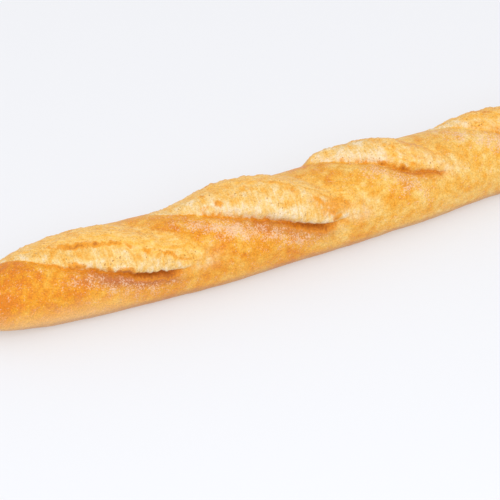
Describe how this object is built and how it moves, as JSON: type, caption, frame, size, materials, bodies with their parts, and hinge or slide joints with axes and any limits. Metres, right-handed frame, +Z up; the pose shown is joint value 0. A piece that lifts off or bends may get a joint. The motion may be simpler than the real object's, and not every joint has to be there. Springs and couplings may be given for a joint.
{
  "type": "baguette",
  "caption": "Long crusty white-bread loaf, baked on its flat underside, with slanting slashes that burst open along its top.",
  "frame": {"origin": "on the table, under the middle of the loaf's box", "axes": "+X along the loaf, +Z up; every slash runs from the far side (+Y) at its -X end down to the near side (-Y) at its +X end"},
  "size_m": [0.58, 0.0709, 0.0623],
  "materials": {
    "crust": "satin"
  },
  "bodies": {
    "root": {"baguette": "crust"}
  },
  "joints": []
}
